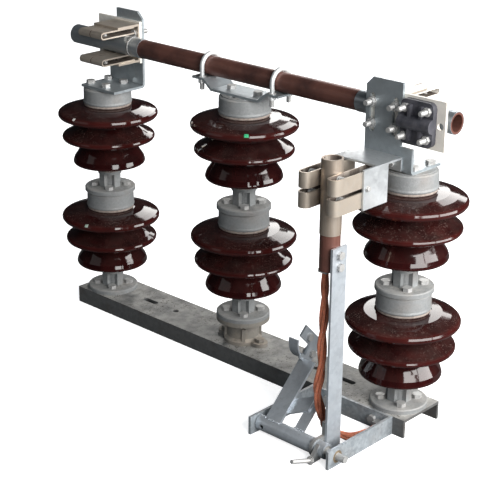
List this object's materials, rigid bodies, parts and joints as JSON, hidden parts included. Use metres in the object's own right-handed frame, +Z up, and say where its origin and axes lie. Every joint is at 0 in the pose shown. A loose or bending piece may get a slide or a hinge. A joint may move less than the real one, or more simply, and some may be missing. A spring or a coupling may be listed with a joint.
{
  "type": "high voltage isolator switch",
  "caption": "Pole of a high voltage isolator: a turning middle insulator carries a contact tube between two fixed finger contacts, with a swinging earth blade on the base.",
  "frame": {"origin": "on the axis of the rotating stack, at the top face of the base channel, which is also the centre of the two fixing slots", "axes": "+X along the base channel towards the stack with the earth switch, +Z up along the rotating stack, -Y towards the earth blade"},
  "size_m": [1.1138, 0.4406, 0.724],
  "materials": {
    "porcelain": "glossy dark red-brown glaze",
    "galvanised_casting": "matte hot-dip galvanised, dusty",
    "galvanised_steel": "aged hot-dip galvanised",
    "zinc_plate": "bright zinc plating, satin",
    "zinc_fastener": "zinc plating, satin",
    "copper_tube": "oxidised copper, satin",
    "plated_tube": "tin plating, satin",
    "plated_contact": "tin plating, satin",
    "copper_braid": "bare copper rope",
    "clamp_casting": "dark cast aluminium, rough",
    "bush_bronze": "plain bronze"
  },
  "bodies": {
    "base": {"base_channel": "galvanised_steel", "bearing_housing": "galvanised_casting", "bearing_bolts": "zinc_fastener", "left_pedestals": "galvanised_casting", "left_lower_porcelain": "porcelain", "left_upper_porcelain": "porcelain", "left_caps": "galvanised_casting", "left_stack_bolts": "zinc_fastener", "right_pedestals": "galvanised_casting", "right_lower_porcelain": "porcelain", "right_upper_porcelain": "porcelain", "right_caps": "galvanised_casting", "right_stack_bolts": "zinc_fastener", "left_contact_bracket": "zinc_plate", "left_finger_carrier": "plated_contact", "left_contact_fingers": "plated_contact", "left_contact_bolts": "zinc_fastener", "left_terminal_pad": "plated_contact", "right_contact_bracket": "zinc_plate", "right_finger_carrier": "plated_contact", "right_contact_fingers": "plated_contact", "right_contact_bolts": "zinc_fastener", "right_terminal_pad": "plated_contact", "terminal_clamp": "clamp_casting", "clamp_bolts": "zinc_fastener", "earth_contact_bracket": "zinc_plate", "earth_contact_fingers": "plated_contact", "frame_back_strip": "galvanised_steel", "frame_left_strip": "galvanised_steel", "frame_right_strip": "galvanised_steel", "frame_bolts": "zinc_fastener", "pivot_bushes": "bush_bronze", "earth_braid": "copper_braid", "braid_frame_lug": "zinc_fastener"},
    "rotor": {"rotor_spindle": "zinc_fastener", "turntable": "galvanised_casting", "drive_crank": "galvanised_steel", "middle_pedestals": "galvanised_casting", "middle_lower_porcelain": "porcelain", "middle_upper_porcelain": "porcelain", "middle_caps": "galvanised_casting", "middle_stack_bolts": "zinc_fastener", "tube_saddle": "zinc_plate", "saddle_bolts": "zinc_fastener", "tube_ubolts": "zinc_fastener", "main_tube": "copper_tube", "tube_ends": "plated_tube"},
    "earth_blade": {"torque_pipe": "galvanised_steel", "pivot_pins": "zinc_fastener", "blade_foot": "galvanised_steel", "blade_angle": "galvanised_steel", "blade_tube": "copper_tube", "blade_sleeve": "plated_tube", "blade_bolts": "zinc_fastener", "interlock_arm": "galvanised_steel", "interlock_bar": "galvanised_steel", "interlock_gusset": "galvanised_steel", "interlock_head": "zinc_plate", "interlock_bolts": "zinc_fastener", "braid_tube_lug": "zinc_fastener"}
  },
  "joints": [
    {"name": "rotor_turn", "type": "hinge", "parent": "base", "child": "rotor", "pos_m": [0, 0, 0], "axis": [0, 0, 1], "range_deg": [0, 90]},
    {"name": "earth_swing", "type": "hinge", "parent": "base", "child": "earth_blade", "pos_m": [0, -0.234, -0.02], "axis": [1, 0, 0], "range_deg": [0, 90], "deforming": ["earth_braid"]}
  ]
}
